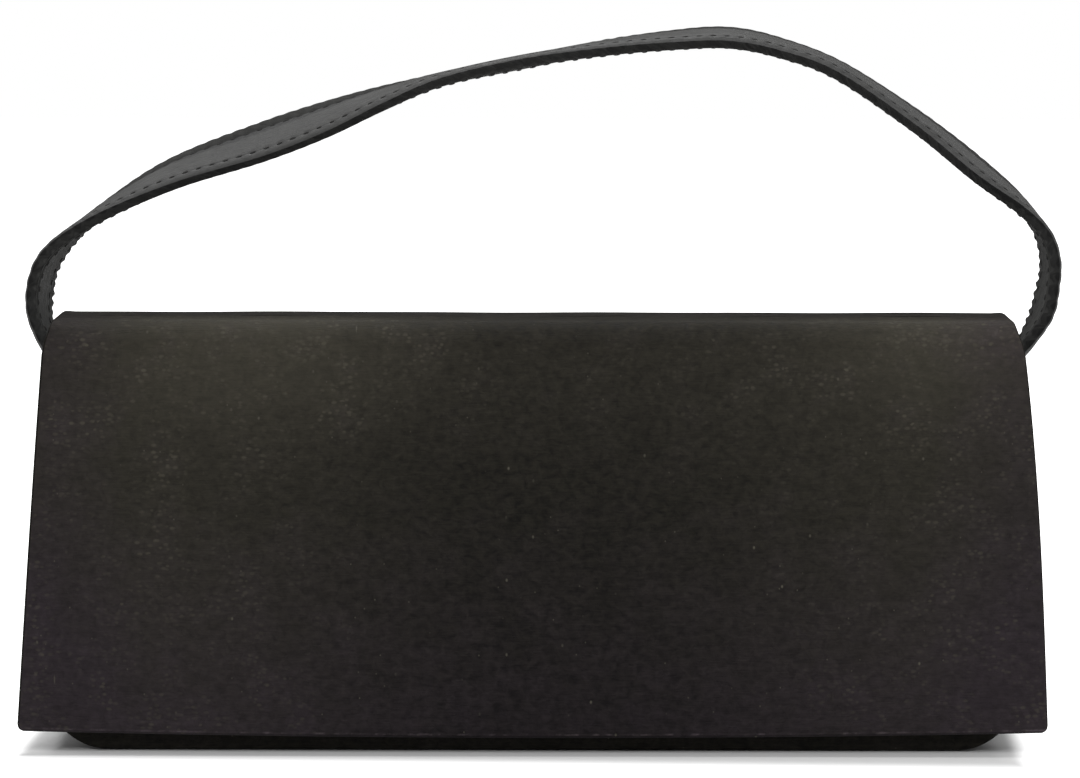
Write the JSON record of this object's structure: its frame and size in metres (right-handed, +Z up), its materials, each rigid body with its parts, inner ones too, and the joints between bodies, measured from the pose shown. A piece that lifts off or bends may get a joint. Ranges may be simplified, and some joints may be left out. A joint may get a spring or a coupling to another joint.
{
  "type": "clutch bag",
  "caption": "Satin flap clutch with board-stiffened panels, soft gussets, a magnetic snap and a stitched satin strap that stands over it as a low arch.",
  "frame": {"origin": "middle of the base's underside, on the surface that the bag stands on", "axes": "+X to the bag's right as seen from the front, +Y to its back, so the flap faces -Y, +Z up"},
  "size_m": [0.268, 0.0635, 0.1829],
  "materials": {
    "satin": "black satin weave with a soft sheen",
    "strap_satin": "black satin, stitched along both edges",
    "lining": "plain black woven lining",
    "board": "uncoated grey board",
    "webbing": "stiff black webbing",
    "snap_metal": "bright nickel plate",
    "magnet": "dull grey sintered",
    "washer": "plain stamped"
  },
  "bodies": {
    "body": {"base_cover": "satin", "base_board": "board", "base_lining": "lining", "front_cover": "satin", "front_board": "board", "front_lining": "lining", "back_cover": "satin", "back_board": "board", "back_lining": "lining", "slip_pocket": "lining", "left_gusset": "satin", "right_gusset": "satin", "left_gusset_lining": "lining", "right_gusset_lining": "lining", "left_strap_tab": "satin", "right_strap_tab": "satin", "snap_socket": "snap_metal", "snap_magnet": "magnet", "snap_socket_washer": "washer"},
    "spine": {"spine_cover": "satin", "spine_board": "board", "spine_lining": "lining"},
    "flap": {"flap_cover": "satin", "flap_board": "board", "flap_lining": "lining", "snap_stud": "snap_metal", "snap_stud_washer": "washer"},
    "strap": {"strap_face": "strap_satin", "strap_core": "webbing", "strap_backing": "strap_satin"}
  },
  "joints": [
    {"name": "spine_fold", "type": "hinge", "parent": "body", "child": "spine", "pos_m": [0, 0.01051, 0.10871], "axis": [-1, 0, 0], "range_deg": [0, 78]},
    {"name": "flap_fold", "type": "hinge", "parent": "spine", "child": "flap", "pos_m": [0, -0.01693, 0.10871], "axis": [-1, 0, 0], "range_deg": [0, 90]},
    {"name": "strap_swing", "type": "hinge", "parent": "body", "child": "strap", "pos_m": [0, 0.0065, 0.096], "axis": [-1, 0, 0], "range_deg": [0, 130], "stiffness_Nm_per_rad": 0.02, "springref_deg": -11.46}
  ]
}
